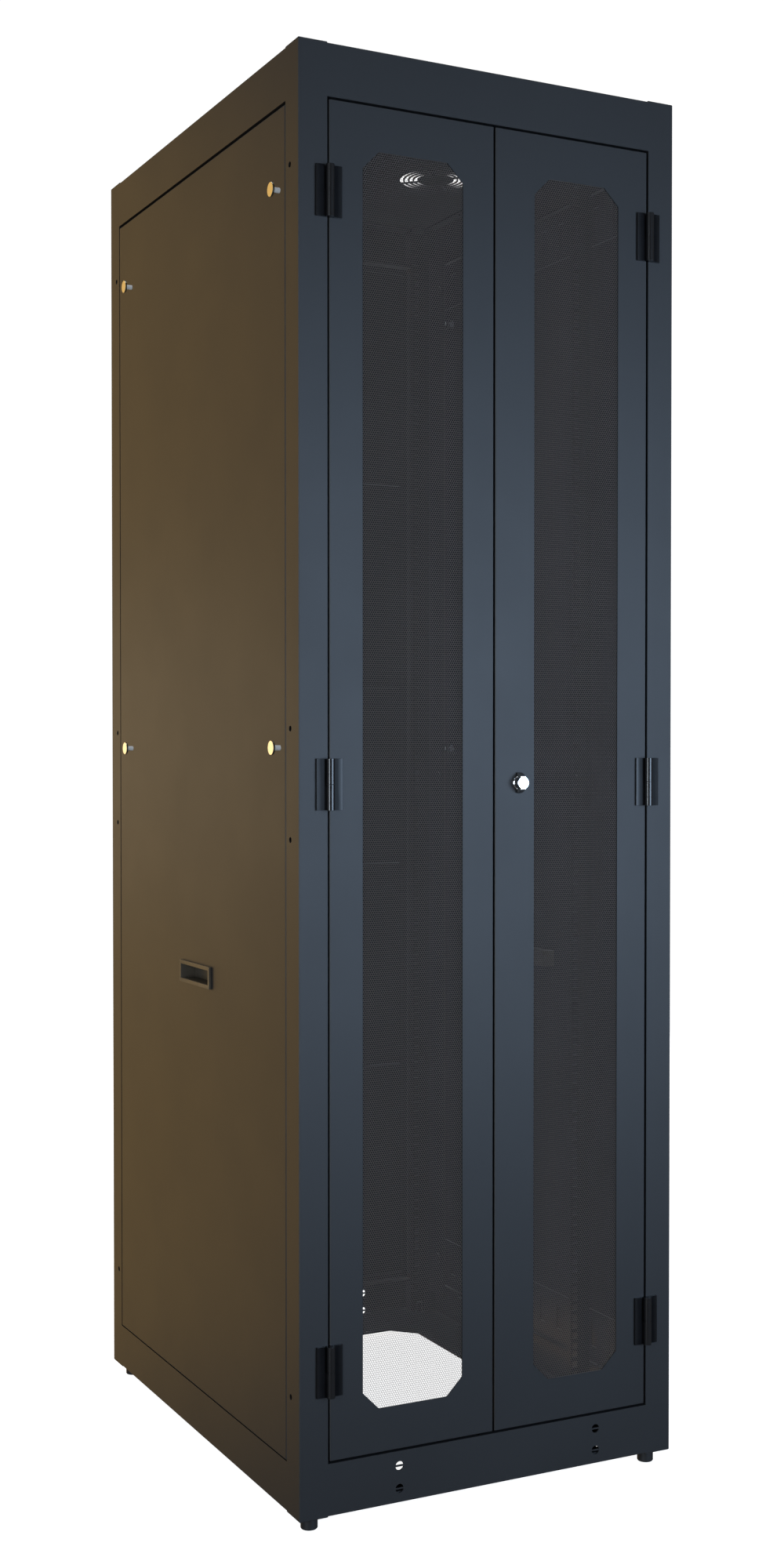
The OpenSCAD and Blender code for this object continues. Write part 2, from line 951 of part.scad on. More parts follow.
// Channels across the inside of the rear door's skin
module rear_stiffeners() {
    inset = leaf_lip + 1;
    l = open_w - 2 * door_gap - 2 * inset;
    h = 50;
    depth = 12;
    color("dimgray")
    at_rear_leaf()
    for (k = [0.2, 0.4, 0.6, 0.8])
        translate([inset, skin_t, k * leaf_h - h / 2])
        difference() {
            cube([l, depth, h]);
            translate([-eps, -eps, skin_t]) cube([l + 2 * eps, depth - skin_t + eps, h - 2 * skin_t]);
        }
}

// Side panels

// Folded panel with two tongues at its foot, a hole for the cup and four for the screws
module side_panel(right) {
    cut_w = cup_w - 2 * cup_rim + 2 * cup_slack;
    cut_h = cup_h - 2 * cup_rim + 2 * cup_slack;
    color("darkslategray")
    flip_x(right)
    translate([-body_w / 2, 0, panel_z])
    difference() {
        union() {
            difference() {
                translate([0, -panel_w / 2, 0]) cube([panel_t, panel_w, panel_h]);
                translate([skin_t, skin_t - panel_w / 2, skin_t])
                    cube([panel_t, panel_w - 2 * skin_t, panel_h - 2 * skin_t]);
            }
            for (y = tab_y)
                translate([panel_t - skin_t, y - tab_w / 2, 0]) {
                    cube([skin_t, tab_w, tab_rise + tab_t]);
                    translate([0, 0, tab_rise]) cube([tab_l - panel_t + skin_t, tab_w, tab_t]);
                }
        }
        translate([-eps, cup_y - cut_w / 2, cup_z - panel_z - cut_h / 2])
            cube([skin_t + 2 * eps, cut_w, cut_h]);
        for (y = [thumb_front - body_d / 2, body_d / 2 - thumb_rear], z = thumb_z)
            translate([-eps, y, z_mid + z - panel_z])
                along_x(thumb_stem_r + slip, skin_t + 2 * eps);
    }
}

// Recessed pull with a raised rim
module pull_cup(right) {
    w = cup_w - 2 * cup_rim;
    h = cup_h - 2 * cup_rim;
    color("black")
    flip_x(right)
    translate([-body_w / 2, cup_y, cup_z])
    difference() {
        union() {
            translate([-cup_rim_out, -cup_w / 2, -cup_h / 2]) cube([cup_rim_out, cup_w, cup_h]);
            translate([-eps, -w / 2, -h / 2]) cube([cup_depth + eps, w, h]);
        }
        translate([-cup_rim_out - eps, cup_wall - w / 2, cup_wall - h / 2])
            cube([cup_rim_out + cup_depth - cup_wall + eps, w - 2 * cup_wall, h - 2 * cup_wall]);
    }
}

// Captive thumb screw: 1 and 2 are the front pair, low then high, and 3 and 4 the rear pair
module thumb_screw(right, n) {
    y = n < 3 ? thumb_front - body_d / 2 : body_d / 2 - thumb_rear;
    ring_x = skin_t + thumb_ring_gap;
    color("goldenrod")
    flip_x(right)
    translate([-body_w / 2, y, z_mid + thumb_z[(n - 1) % 2]]) {
        translate([-thumb_out, 0, 0]) along_x(thumb_d / 2, thumb_head_t);
        translate([eps - thumb_out, 0, 0]) along_x(thumb_stem_r, thumb_out - eps + ring_x);
        translate([ring_x, 0, 0]) along_x(thumb_ring_r, thumb_ring_t);
        along_x(thumb_thread_r, thumb_thread_l);
    }
}

post(false, false);  // post_front_left
post(true, false);  // post_front_right
post(false, true);  // post_rear_left
post(true, true);  // post_rear_right
rail_top_end(false);  // rail_top_front
rail_top_end(true);  // rail_top_rear
rail_top_side(false);  // rail_top_left
rail_top_side(true);  // rail_top_right
rail_bottom_end(false);  // rail_bottom_front
rail_bottom_end(true);  // rail_bottom_rear
rail_bottom_side(false);  // rail_bottom_left
rail_bottom_side(true);  // rail_bottom_right
roof_panel();
floor_pan();
sheet_screws();
rack_rail(false, false);  // rack_rail_front_left
rack_rail(true, false);  // rack_rail_front_right
rack_rail(false, true);  // rack_rail_rear_left
rack_rail(true, true);  // rack_rail_rear_right
depth_braces();
rail_bolts();
rail_nuts();
keepers();
foot_lock_nuts();
foot(false, false);  // foot_front_left
foot(true, false);  // foot_front_right
foot(false, true);  // foot_rear_left
foot(true, true);  // foot_rear_right
hinge_frame_plates();
hinge_pins();
left_leaf();
left_mesh();
left_hinge_plates();
flush_bolt_guides();
flush_bolt_top();
flush_bolt_bottom();
right_leaf();
right_mesh();
right_hinge_plates();
latch_collar_front();
latch_knob_front();
latch_cam_front();
rear_door();
rear_stiffeners();
rear_hinge_plates();
latch_collar_rear();
latch_knob_rear();
latch_cam_rear();
side_panel(false);  // side_panel_left
pull_cup(false);  // pull_cup_left
thumb_screw(false, 1);  // thumb_screw_left_1
thumb_screw(false, 2);  // thumb_screw_left_2
thumb_screw(false, 3);  // thumb_screw_left_3
thumb_screw(false, 4);  // thumb_screw_left_4
side_panel(true);  // side_panel_right
pull_cup(true);  // pull_cup_right
thumb_screw(true, 1);  // thumb_screw_right_1
thumb_screw(true, 2);  // thumb_screw_right_2
thumb_screw(true, 3);  // thumb_screw_right_3
thumb_screw(true, 4);  // thumb_screw_right_4
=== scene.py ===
import json
import math

import bmesh
import bpy
import numpy as np
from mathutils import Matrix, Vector

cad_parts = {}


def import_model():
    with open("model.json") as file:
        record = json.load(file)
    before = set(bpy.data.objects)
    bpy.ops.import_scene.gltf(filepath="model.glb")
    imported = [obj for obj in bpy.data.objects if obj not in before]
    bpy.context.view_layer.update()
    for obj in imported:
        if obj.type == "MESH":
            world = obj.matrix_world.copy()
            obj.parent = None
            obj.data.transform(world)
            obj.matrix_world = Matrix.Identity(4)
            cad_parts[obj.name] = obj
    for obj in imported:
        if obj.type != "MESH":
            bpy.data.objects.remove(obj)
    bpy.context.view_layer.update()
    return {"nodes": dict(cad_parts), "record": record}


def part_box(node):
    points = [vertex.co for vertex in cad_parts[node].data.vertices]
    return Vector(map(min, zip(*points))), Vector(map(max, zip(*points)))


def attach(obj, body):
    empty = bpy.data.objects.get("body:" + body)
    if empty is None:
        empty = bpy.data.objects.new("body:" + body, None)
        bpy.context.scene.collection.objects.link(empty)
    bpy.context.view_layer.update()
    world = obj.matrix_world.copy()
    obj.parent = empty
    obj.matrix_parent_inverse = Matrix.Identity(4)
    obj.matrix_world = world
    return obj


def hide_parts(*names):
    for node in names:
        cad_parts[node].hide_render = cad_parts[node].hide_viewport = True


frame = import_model()
nodes = frame["nodes"]
MM = 0.001


# Camera, lights and stage

# The camera was fitted to the straight edges of the frame
LENS = 43.72
SENSOR = 36
CAMERA_AT = (-1.3583, -2.7494, 1.0735)
CAMERA_TILT = math.radians(-1.003)
CAMERA_TURN = math.radians(-26.884)

# Each softbox's place, the point it faces, its size, its face's radiance and its colour
SOFT_BOXES = {
    "warm_side": ((-1.65, 3.15, 1.1), (-0.305, 0.0, 1.1), (2.4, 4.5), 0.88, (1.0, 0.59, 0.14)),
    "side_core": ((-1.55, 3.05, 1.08), (-0.305, 0.0, 1.08), (0.9, 0.9), 1.1, (1.0, 0.86, 0.66)),
    "cool_front": ((1.55, -3.6, 1.15), (0.0, -0.39, 1.15), (2.4, 1.9), 6.3, (0.57, 0.75, 1.0)),
    "cool_left": ((-3.5, -2.6, 1.1), (-0.305, -0.39, 1.1), (0.9, 2.8), 10.0, (0.80, 0.90, 1.0)),
    "rear_right": ((3.2, 2.6, 1.5), (0.3, 0.2, 1.0), (2.4, 2.4), 1.5, (1.0, 0.97, 0.93)),
    "top": ((0.0, 0.4, 4.6), (0.0, 0.0, 2.0), (2.4, 2.4), 4.5, (0.97, 0.98, 1.0)),
}

WHITE = (1, 1, 1)
BACKDROP_GLOW = 1.05
FILL_COLOUR = (0.95, 0.97, 1)
FILL_GLOW = 0.115
FLOOR_HALF = 14
FLOOR_SQUARES = 24
FLOOR_DROP = 0.5 * MM
FLOOR_GREY = (0.8, 0.8, 0.8)
FLOOR_GLOW = 0.93


def camera():
    data = bpy.data.cameras.new("camera")
    data.lens = LENS
    data.sensor_width = SENSOR
    data.clip_end = 100
    obj = bpy.data.objects.new("camera", data)
    bpy.context.scene.collection.objects.link(obj)
    obj.location = CAMERA_AT
    obj.rotation_euler = (math.pi / 2 + CAMERA_TILT, 0, CAMERA_TURN)
    bpy.context.scene.camera = obj


def soft_box(name, place, aim, size, radiance, colour):
    """A rectangular light with an even face, which the camera doesn't see."""
    data = bpy.data.lights.new(name, "AREA")
    data.shape = "RECTANGLE"
    data.size, data.size_y = size
    data.energy = radiance * math.pi * size[0] * size[1]
    data.color = colour
    obj = bpy.data.objects.new(name, data)
    bpy.context.scene.collection.objects.link(obj)
    obj.location = place
    direction = Vector(aim) - Vector(place)
    obj.rotation_euler = direction.to_track_quat("-Z", "Y").to_euler()
    obj.visible_camera = False


def seen_and_fill(tree, output, seen, fill):
    """Sends one shader to the camera's own rays and another to every other ray."""
    mix = tree.nodes.new("ShaderNodeMixShader")
    path = tree.nodes.new("ShaderNodeLightPath")
    tree.links.new(path.outputs["Is Camera Ray"], mix.inputs["Fac"])
    tree.links.new(fill, mix.inputs[1])
    tree.links.new(seen, mix.inputs[2])
    tree.links.new(mix.outputs[0], output)


def glow(tree, kind, colour, strength):
    n = tree.nodes.new(kind)
    n.inputs["Color"].default_value = (*colour, 1)
    n.inputs["Strength"].default_value = strength
    return n.outputs[0]


def world():
    scene = bpy.context.scene
    scene.view_settings.view_transform = "Standard"
    scene.world = bpy.data.worlds.new("studio")
    scene.world.use_nodes = True
    tree = scene.world.node_tree
    tree.nodes.clear()
    out = tree.nodes.new("ShaderNodeOutputWorld")
    seen = glow(tree, "ShaderNodeBackground", WHITE, BACKDROP_GLOW)
    fill = glow(tree, "ShaderNodeBackground", FILL_COLOUR, FILL_GLOW)
    seen_and_fill(tree, out.inputs["Surface"], seen, fill)


def mesh_from(bm, name):
    mesh = bpy.data.meshes.new(name)
    bm.to_mesh(mesh)
    bm.free()
    return mesh


def floor():
    """A pale floor that only the camera sees, so it adds no light of its own to the coat."""
    bm = bmesh.new()
    bmesh.ops.create_grid(
        bm, x_segments=FLOOR_SQUARES, y_segments=FLOOR_SQUARES, size=FLOOR_HALF
    )
    mesh = mesh_from(bm, "studio_floor")
    obj = bpy.data.objects.new("studio_floor", mesh)
    bpy.context.scene.collection.objects.link(obj)
    obj.location = (0, 0, -FLOOR_DROP)
    mat = bpy.data.materials.new("studio_floor")
    mat.use_nodes = True
    tree = mat.node_tree
    tree.nodes.clear()
    out = tree.nodes.new("ShaderNodeOutputMaterial")
    pale = tree.nodes.new("ShaderNodeBsdfDiffuse")
    pale.inputs["Color"].default_value = (*FLOOR_GREY, 1)
    both = tree.nodes.new("ShaderNodeAddShader")
    tree.links.new(pale.outputs[0], both.inputs[0])
    tree.links.new(glow(tree, "ShaderNodeEmission", WHITE, FLOOR_GLOW), both.inputs[1])
    tree.links.new(both.outputs[0], out.inputs["Surface"])
    mesh.materials.append(mat)
    obj.visible_diffuse = False
    obj.visible_glossy = False
    obj.visible_transmission = False
    obj.visible_shadow = False


# Materials

def new_material(name):
    mat = bpy.data.materials.new(name)
    mat.use_nodes = True
    tree = mat.node_tree
    return mat, tree, tree.nodes["Principled BSDF"]


def coords(tree):
    return tree.nodes.new("ShaderNodeTexCoord").outputs["Object"]


def noise(tree, vector, scale, detail=3.0, rough=0.5):
    n = tree.nodes.new("ShaderNodeTexNoise")
    n.inputs["Scale"].default_value = scale
    n.inputs["Detail"].default_value = detail
    n.inputs["Roughness"].default_value = rough
    tree.links.new(vector, n.inputs["Vector"])
    return n.outputs["Fac"]


def remap(tree, value, low, high, a, b):
    n = tree.nodes.new("ShaderNodeMapRange")
    for key, v in (("From Min", low), ("From Max", high), ("To Min", a), ("To Max", b)):
        n.inputs[key].default_value = v
    tree.links.new(value, n.inputs["Value"])
    return n.outputs["Result"]


def math_node(tree, op, a, b):
    n = tree.nodes.new("ShaderNodeMath")
    n.operation = op
    for socket, v in zip(n.inputs, (a, b)):
        if isinstance(v, (int, float)):
            socket.default_value = v
        else:
            tree.links.new(v, socket)
    return n.outputs[0]


def mix_colour(tree, fac, a, b):
    n = tree.nodes.new("ShaderNodeMix")
    n.data_type = "RGBA"
    tree.links.new(fac, n.inputs[0])
    for socket, v in ((n.inputs[6], a), (n.inputs[7], b)):
        if isinstance(v, tuple):
            socket.default_value = (*v, 1)
        else:
            tree.links.new(v, socket)
    return n.outputs[2]


def bump(tree, shader, height, strength, distance):
    n = tree.nodes.new("ShaderNodeBump")
    n.inputs["Strength"].default_value = strength
    n.inputs["Distance"].default_value = distance
    tree.links.new(height, n.inputs["Height"])
    tree.links.new(n.outputs["Normal"], shader.inputs["Normal"])


def scaled(colour, k):
    return tuple(min(1, c * k) for c in colour)


def powder_coat(name, colour, rough, grain=900):
    """Satin powder coat: fine orange-peel grain and an even tone with a few paler specks."""
    mat, tree, shader = new_material(name)
    at = coords(tree)
    tone = remap(tree, noise(tree, at, 5, 3), 0.3, 0.7, 0, 1)
    base = mix_colour(tree, tone, scaled(colour, 0.94), scaled(colour, 1.06))
    speck = remap(tree, noise(tree, at, grain * 1.7, 2), 0.55, 0.75, 0, 0.5)
    base = mix_colour(tree, speck, base, scaled(colour, 1.7))
    tree.links.new(base, shader.inputs["Base Color"])
    smudge = noise(tree, at, 9, 5, 0.6)
    gloss = remap(tree, smudge, 0.3, 0.7, rough - 0.012, rough + 0.012)
    tree.links.new(gloss, shader.inputs["Roughness"])
    bump(tree, shader, noise(tree, at, grain, 3, 0.6), 0.25, 0.08 * MM)
    return mat


def plated(name, colour, rough):
    """Plated metal with a faint spangle and fine handling marks."""
    mat, tree, shader = new_material(name)
    at = coords(tree)
    shader.inputs["Metallic"].default_value = 1.0
    spangle = remap(tree, noise(tree, at, 70, 3), 0.35, 0.65, 0, 1)
    base = mix_colour(tree, spangle, scaled(colour, 0.9), colour)
    tree.links.new(base, shader.inputs["Base Color"])
    marks = noise(tree, at, 240, 4)
    gloss = remap(tree, marks, 0.3, 0.7, rough - 0.04, rough + 0.05)
    tree.links.new(gloss, shader.inputs["Roughness"])
    bump(tree, shader, noise(tree, at, 500, 2), 0.08, 0.04 * MM)
    return mat


def plastic(name, colour, rough):
    """Moulded plastic with a fine grain, a little paler where it is rubbed."""
    mat, tree, shader = new_material(name)
    at = coords(tree)
    tone = remap(tree, noise(tree, at, 30, 3), 0.35, 0.65, 0, 1)
    base = mix_colour(tree, tone, scaled(colour, 0.88), scaled(colour, 1.12))
    patchy = remap(tree, noise(tree, at, 120, 3), 0.4, 0.7, 0, 0.3)
    point = tree.nodes.new("ShaderNodeNewGeometry").outputs["Pointiness"]
    edges = remap(tree, point, 0.53, 0.62, 0, 1)
    rub = math_node(tree, "MULTIPLY", edges, patchy)
    base = mix_colour(tree, rub, base, (0.09, 0.09, 0.09))
    tree.links.new(base, shader.inputs["Base Color"])
    gloss = remap(tree, noise(tree, at, 90, 3), 0.3, 0.7, rough - 0.04, rough + 0.04)
    tree.links.new(gloss, shader.inputs["Roughness"])
    bump(tree, shader, noise(tree, at, 1400, 2), 0.2, 0.08 * MM)
    return mat


def hinge_gloss(name, colour):
    """Black enamel: glossy on the knuckles and edges, flatter on the plates' wide faces."""
    mat, tree, shader = new_material(name)
    at = coords(tree)
    tone = remap(tree, noise(tree, at, 80, 3), 0.35, 0.65, 0, 1)
    base = mix_colour(tree, tone, scaled(colour, 0.85), scaled(colour, 1.15))
    tree.links.new(base, shader.inputs["Base Color"])
    split = tree.nodes.new("ShaderNodeSeparateXYZ")
    facing = tree.nodes.new("ShaderNodeTexCoord").outputs["Normal"]
    tree.links.new(facing, split.inputs[0])
    flat = remap(tree, math_node(tree, "ABSOLUTE", split.outputs["Y"], 0.0), 0.985, 0.998, 0, 1)
    place = tree.nodes.new("ShaderNodeSeparateXYZ")
    tree.links.new(at, place.inputs[0])
    out = math_node(tree, "ABSOLUTE", place.outputs["X"], 0.0)
    from_pin = math_node(tree, "ABSOLUTE", math_node(tree, "SUBTRACT", out, PIN_X), 0.0)
    beside = remap(tree, from_pin, KNUCKLE_R - 0.2 * MM, KNUCKLE_R, 0, 1)
    plate = math_node(tree, "MULTIPLY", flat, beside)
    tree.links.new(remap(tree, plate, 0, 1, 0.75, 0.10), shader.inputs["Specular IOR Level"])
    tree.links.new(remap(tree, plate, 0, 1, 0.22, 0.32), shader.inputs["Roughness"])
    bump(tree, shader, noise(tree, at, 1500, 2), 0.08, 0.02 * MM)
    return mat


def turned_nickel(name, face, stem):
    """Polished head faces, and satin stems whose near-white colour is a painted reflection;
    told apart by how far out they stand.
    """
    mat, tree, shader = new_material(name)
    at = coords(tree)
    split = tree.nodes.new("ShaderNodeSeparateXYZ")
    tree.links.new(at, split.inputs[0])
    out = math_node(tree, "ABSOLUTE", split.outputs["X"], 0.0)
    head = remap(tree, out, HEAD_X - 0.05 * MM, HEAD_X + 0.05 * MM, 0, 1)
    marks = remap(tree, noise(tree, at, 400, 4), 0.3, 0.7, -0.03, 0.04)
    tree.links.new(mix_colour(tree, head, stem, face), shader.inputs["Base Color"])
    tree.links.new(head, shader.inputs["Metallic"])
    gloss = math_node(tree, "ADD", remap(tree, head, 0, 1, 0.42, 0.13), marks)
    tree.links.new(gloss, shader.inputs["Roughness"])
    bump(tree, shader, noise(tree, at, 600, 2), 0.06, 0.03 * MM)
    return mat


# From part.scad: the hinge pins' distance from the middle plane, the knuckles' radius, and
# the thickness of a thumb screw's head and a little more
PIN_X = 260.5 * MM
KNUCKLE_R = 6 * MM
HEAD_T = 3.2 * MM
HEAD_X = abs(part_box("thumb_screw_left_1")[0][0]) - HEAD_T
COAT = (0.014, 0.0145, 0.016)
COAT_ROUGH = 0.48
materials = {
    "frame_coat": powder_coat("frame_coat", COAT, COAT_ROUGH),
    "door_coat": powder_coat("door_coat", COAT, COAT_ROUGH),
    "panel_coat": powder_coat("panel_coat", COAT, COAT_ROUGH),
    "rack_coat": powder_coat("rack_coat", COAT, COAT_ROUGH),
    # Painted sheen: the perforated sheets' colour is far paler and warmer than the black coat.
    # It stands in for the light the mesh catches.
    "mesh_coat": powder_coat("mesh_coat", (0.190, 0.158, 0.143), 0.6, grain=1500),
    "hinge_coat": hinge_gloss("hinge_coat", (0.005, 0.005, 0.006)),
    "screw_black": powder_coat("screw_black", (0.02, 0.02, 0.021), 0.35, grain=1500),
    # Painted light: the pull cups' colour is paler and warmer than black plastic. It stands in
    # for the warm light on their insides.
    "cup_plastic": plastic("cup_plastic", (0.070, 0.058, 0.042), 0.46),
    "foot_black": plastic("foot_black", (0.014, 0.014, 0.015), 0.5),
    "zinc_hardware": plated("zinc_hardware", (0.07, 0.07, 0.072), 0.45),
    "knob_chrome": plated("knob_chrome", (0.86, 0.86, 0.86), 0.10),
    # The stems' near-white, non-metal colour is a painted reflection. It stands in for the
    # bright reflection on a plated stem.
    "thumb_chrome": turned_nickel("thumb_chrome", (0.66, 0.62, 0.47), (0.88, 0.89, 0.90)),
}


def dress():
    """Gives each CAD node the finish of its material slot."""
    for part in frame["record"]["subparts"]:
        data = nodes[part["node"]].data
        data.materials.clear()
        data.materials.append(materials[part["material_slot"]])


slot_of = {part["node"]: part["material_slot"] for part in frame["record"]["subparts"]}
body_of = {
    node: body
    for body, members in frame["record"]["behaviour"]["bodies"].items()
    for node in members
}


def add_piece(name, mesh, body, slot, replaced=()):
    """Links a finished mesh as a piece that rides on a body and takes a slot's finish."""
    mesh.materials.clear()
    mesh.materials.append(materials[slot])
    obj = bpy.data.objects.new(name, mesh)
    bpy.context.scene.collection.objects.link(obj)
    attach(obj, body)
    if replaced:
        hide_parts(*replaced)
    return obj


# CAD nodes again, with their outer folds or their hard edges rounded

WELD = 0.005 * MM
FLAT = math.radians(1)
FOLD = math.radians(60)
HARD = math.radians(40)
SMOOTH_BELOW = math.radians(14)
FOLD_LENGTH = 3 * MM
RAIL_LENGTH = 100 * MM


def welded(node):
    """A CAD node's mesh with its doubled points joined and its flat faces whole."""
    bm = bmesh.new()
    bm.from_mesh(nodes[node].data)
    bmesh.ops.remove_doubles(bm, verts=bm.verts, dist=WELD)
    bmesh.ops.dissolve_limit(bm, angle_limit=FLAT, verts=bm.verts, edges=bm.edges)
    bm.edges.index_update()
    return bm


def bevel(bm, edges, radius, segments):
    bmesh.ops.bevel(
        bm,
        geom=edges,
        offset=radius,
        offset_type="OFFSET",
        segments=segments,
        profile=0.5,
        affect="EDGES",
        clamp_overlap=True,
    )


def islands(bm):
    """The connected solids of a mesh, as lists of vertices."""
    bm.verts.index_update()
    seen = set()
    found = []
    for start in bm.verts:
        if start.index in seen:
            continue
        seen.add(start.index)
        group, queue = [], [start]
        while queue:
            v = queue.pop()
            group.append(v)
            for e in v.link_edges:
                o = e.other_vert(v)
                if o.index not in seen:
                    seen.add(o.index)
                    queue.append(o)
        found.append(group)
    return found


def box_edges(bm, near=0.02 * MM):
    """Edges of each solid that lie on two of its bounding planes, so only its outer folds."""
    chosen = []
    for group in islands(bm):
        co = np.array([v.co for v in group])
        low, high = co.min(0), co.max(0)
        planes = {
            v.index: {
                (axis, side)
                for axis in range(3)
                for side, limit in ((0, low), (1, high))
                if abs(v.co[axis] - limit[axis]) < near
            }
            for v in group
        }
        members = {e for v in group for e in v.link_edges}
        for e in sorted(members, key=lambda e: e.index):
            a, b = e.verts
            shared = planes[a.index] & planes[b.index]
            if len(shared) >= 2 and e.calc_length() > FOLD_LENGTH and e.is_manifold:
                if e.calc_face_angle() > FOLD:
                    chosen.append(e)
    return chosen


frame_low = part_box("post_front_left")[0]
frame_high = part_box("post_rear_right")[1]


def cabinet_edge(e, near=0.1 * MM):
    """An edge on the cabinet's upright corners or round its top, and not where a rail joins."""
    outer = [
        {
            (axis, side)
            for axis in range(3)
            for side, limit in ((0, frame_low[axis]), (1, frame_high[axis]))
            if abs(v.co[axis] - limit) < near
        }
        for v in e.verts
    ]
    return len(outer[0] & outer[1]) >= 2


def lengthwise(e):
    """An edge that runs along a rail, and not round its cut end."""
    a, b = (v.co for v in e.verts)
    return max(abs(a[0] - b[0]), abs(a[1] - b[1])) > RAIL_LENGTH


def softened(node, radius, segments, keep=None):
    """Stands for a CAD node with its outer folds rounded to a sheet's bend radius."""
    bm = welded(node)
    folds = [e for e in box_edges(bm) if keep is None or keep(e)]
    bevel(bm, folds, radius, segments)
    mesh = mesh_from(bm, node + "_folded")
    mesh.shade_flat()
    return add_piece(node + "_folded", mesh, body_of[node], slot_of[node], [node])


def rounded(node, radius):
    """Stands for a CAD node with its hard edges rounded and its curved faces shaded smooth."""
    bm = welded(node)
    hard = [
        e for e in bm.edges
        if e.is_manifold and e.is_convex and e.calc_face_angle() > HARD
    ]
    bevel(bm, hard, radius, 3)
    mesh = mesh_from(bm, node + "_rounded")
    mesh.shade_smooth()
    mesh.set_sharp_from_angle(angle=SMOOTH_BELOW)
    return add_piece(node + "_rounded", mesh, body_of[node], slot_of[node], [node])


# Closed sockets behind the holes that the flush bolts enter

# From part.scad: the bolts' place, the gap round a leaf and the thickness of a rail's sheet
BOLT_Y = -383.5 * MM
LEAF_GAP = 3 * MM
LIP_T = 2 * MM
BORE_R = 4.8 * MM
SOCKET_R = 5.6 * MM
SOCKET_GAP = 0.05 * MM
BORE_DEPTH = 14.4 * MM
SOCKET_DEPTH = 15.6 * MM
BORE_CHAMFER = 0.8 * MM
SOCKET_CHAMFER = 0.6 * MM
SOCKET_STEPS = 32
SOCKET_SHARP = math.radians(30)
SOCKET_PROFILE = [
    (0, BORE_DEPTH),
    (BORE_R - BORE_CHAMFER, BORE_DEPTH),
    (BORE_R, BORE_DEPTH - BORE_CHAMFER),
    (BORE_R, SOCKET_GAP),
    (SOCKET_R, SOCKET_GAP),
    (SOCKET_R, SOCKET_DEPTH - SOCKET_CHAMFER),
    (SOCKET_R - SOCKET_CHAMFER, SOCKET_DEPTH),
    (0, SOCKET_DEPTH),
]


def socket(name, bolt, z, away):
    """A moulded cup at height z on the rail's inner side, which opens towards the bolt."""
    low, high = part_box(bolt)
    x = (low[0] + high[0]) / 2
    bm = bmesh.new()
    rings = []
    for r, depth in SOCKET_PROFILE:
        h = z + away * depth
        if r == 0:
            rings.append([bm.verts.new((x, BOLT_Y, h))] * SOCKET_STEPS)
            continue
        turn = [2 * math.pi * k / SOCKET_STEPS for k in range(SOCKET_STEPS)]
        rings.append([
            bm.verts.new((x + r * math.cos(t), BOLT_Y + r * math.sin(t), h)) for t in turn
        ])
    for a, b in zip(rings, rings[1:]):
        for k in range(SOCKET_STEPS):
            after = (k + 1) % SOCKET_STEPS
            bm.faces.new(list(dict.fromkeys([a[k], a[after], b[after], b[k]])))
    bmesh.ops.recalc_face_normals(bm, faces=bm.faces)
    mesh = mesh_from(bm, name)
    mesh.shade_smooth()
    mesh.set_sharp_from_angle(angle=SOCKET_SHARP)
    add_piece(name, mesh, "frame", "foot_black")


# Perforated sheets: each is two pieces, one above the other

PITCH = 3.4 * MM
ROW = PITCH * math.sqrt(3) / 2
WEB = 0.13
MARGIN = 6 * MM
HALVES = 2
SEAM_WELD = 0.02 * MM


def hole_cell():
    """One six-sided cell about the origin, then the hole in it, and the faces between."""
    angles = np.radians(np.arange(6) * 60 + 30)
    cell = np.stack([np.cos(angles), np.sin(angles)], 1) * PITCH / math.sqrt(3)
    faces = [[k, (k + 1) % 6, 6 + (k + 1) % 6, 6 + k] for k in range(6)]
    return np.concatenate([cell, cell * (1 - WEB)]), np.array(faces)


def plain_strips(half, xs, z_low, z_high, hole_low, hole_high):
    """The plain borders of one half, as x and z ranges."""
    strips = [(xs[0], xs[1], z_low, z_high), (xs[2], xs[3], z_low, z_high)]
    if half == 0:
        strips.append((xs[1], xs[2], z_low, hole_low + ROW / 3))
    if half == HALVES - 1:
        strips.append((xs[1], xs[2], hole_high - ROW / 3, z_high))
    return strips


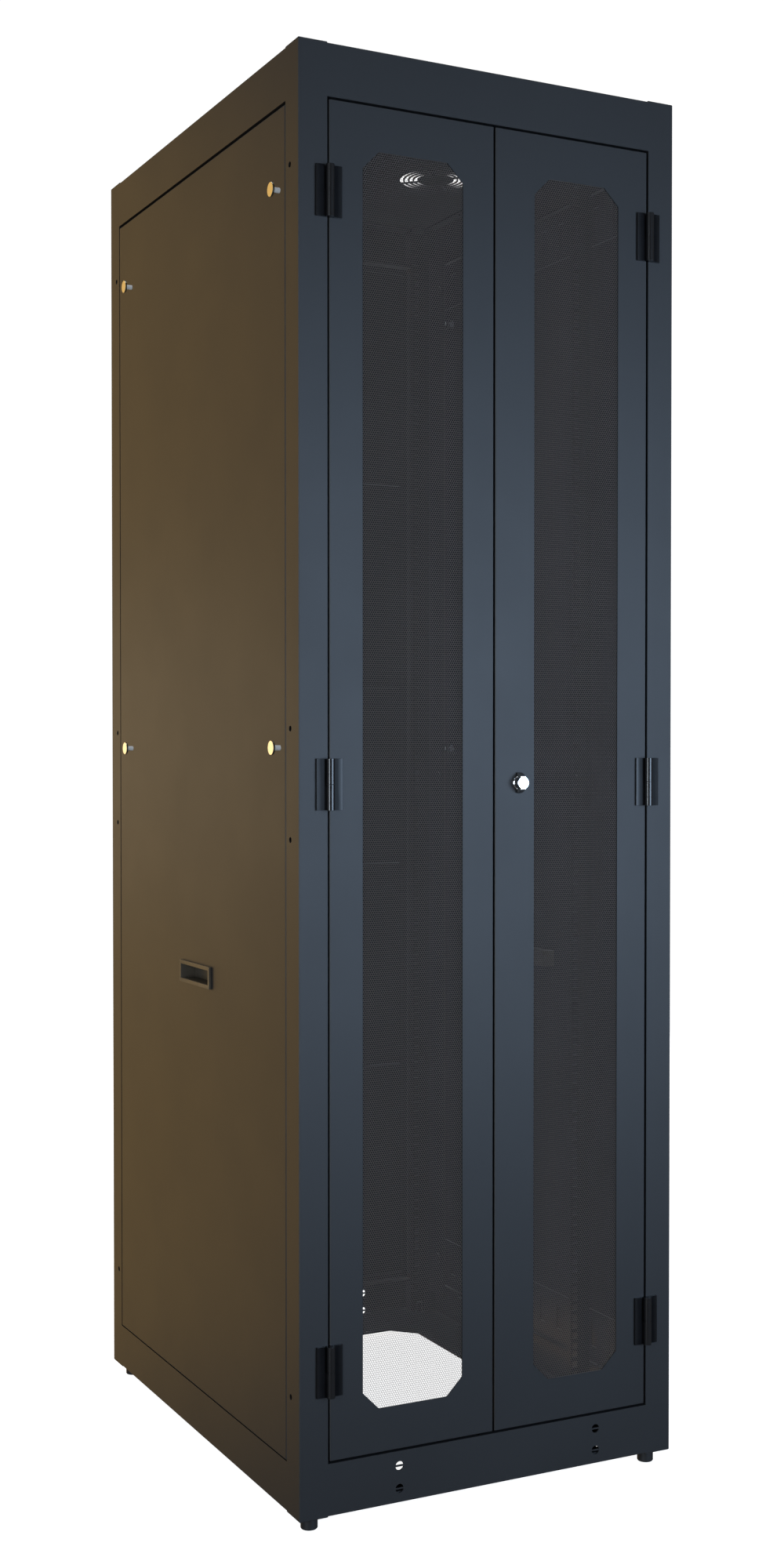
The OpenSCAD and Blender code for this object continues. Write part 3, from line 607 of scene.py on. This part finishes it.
def perforated(node, body):
    """Sheets of staggered six-sided holes that fill a node's box behind the window."""
    low, high = (np.array(c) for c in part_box(node))
    y = low[1]
    columns = int((high[0] - low[0] - 2 * MARGIN) / PITCH)
    rows = int((high[2] - low[2] - 2 * MARGIN) / ROW)
    rows -= rows % (2 * HALVES)
    per = rows // HALVES
    x0 = (low[0] + high[0] - columns * PITCH) / 2
    z0 = (low[2] + high[2] - rows * ROW) / 2
    xs = [low[0], x0 + PITCH / 2, x0 + (columns - 0.5) * PITCH, high[0]]
    ring, quads = hole_cell()
    for half in range(HALVES):
        centres = np.array([
            (x0 + PITCH * (i + (1 if j % 2 else 0.5)), z0 + ROW * (j + 0.5))
            for j in range(half * per, (half + 1) * per)
            for i in range(columns - j % 2)
        ])
        points = (centres[:, None, :] + ring[None]).reshape(-1, 2)
        first = len(ring) * np.arange(len(centres))[:, None, None]
        faces = [list(f) for f in (quads[None] + first).reshape(-1, 4)]
        verts = [(x, y, z) for x, z in points]
        z_low = low[2] if half == 0 else z0 + half * per * ROW
        z_high = high[2] if half == HALVES - 1 else z0 + (half + 1) * per * ROW
        for a, b, c, d in plain_strips(half, xs, z_low, z_high, z0, z0 + rows * ROW):
            faces.append(list(range(len(verts), len(verts) + 4)))
            verts += [(a, y, c), (b, y, c), (b, y, d), (a, y, d)]
        name = f"{node}_perforated_{half + 1}"
        mesh = bpy.data.meshes.new(name)
        mesh.from_pydata(verts, [], faces)
        bm = bmesh.new()
        bm.from_mesh(mesh)
        bmesh.ops.remove_doubles(bm, verts=bm.verts, dist=SEAM_WELD)
        bm.to_mesh(mesh)
        bm.free()
        add_piece(name, mesh, body, slot_of[node], [node])


# Bend radii, and the radii that round the small hardware

PANEL_BEND = 1.6 * MM
DOOR_EDGE = 1.0 * MM
POST_EDGE = 1.0 * MM
RAIL_EDGE = 0.9 * MM
SCREWS = ("thumb_screw_",)
HARDWARE_EDGES = {
    ("hinge_frame_plates", "left_hinge_plates", "right_hinge_plates", "rear_hinge_plates",
     "latch_knob_"): 0.6 * MM,
    SCREWS: 0.45 * MM,
    ("latch_collar_", "pull_cup_", "foot_front", "foot_rear"): 0.4 * MM,
}

camera()
world()
floor()
for name, light in SOFT_BOXES.items():
    soft_box(name, *light)
dress()

for name in ("side_panel_left", "side_panel_right"):
    softened(name, PANEL_BEND, 3)
for name in ("left_leaf", "right_leaf", "rear_door"):
    softened(name, DOOR_EDGE, 1)
for name in sorted(nodes):
    if name.startswith("post_"):
        softened(name, POST_EDGE, 1, cabinet_edge)
    elif name.startswith(("rail_top", "rail_bottom")):
        softened(name, RAIL_EDGE, 1, lengthwise)

for group, radius in HARDWARE_EDGES.items():
    for name in sorted(n for n in nodes if n.startswith(group)):
        piece = rounded(name, radius)
        if group == SCREWS:
            # Leaves out the wide smudge that it made on the panel, its small shadow too
            piece.visible_shadow = False
            piece.visible_glossy = False

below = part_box("flush_bolt_bottom")[0][2] - LEAF_GAP - LIP_T
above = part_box("flush_bolt_top")[1][2] + LEAF_GAP + LIP_T
socket("bolt_socket_bottom", "flush_bolt_bottom", below, -1)
socket("bolt_socket_top", "flush_bolt_top", above, 1)

perforated("left_mesh", "front_door_left")
perforated("right_mesh", "front_door_right")
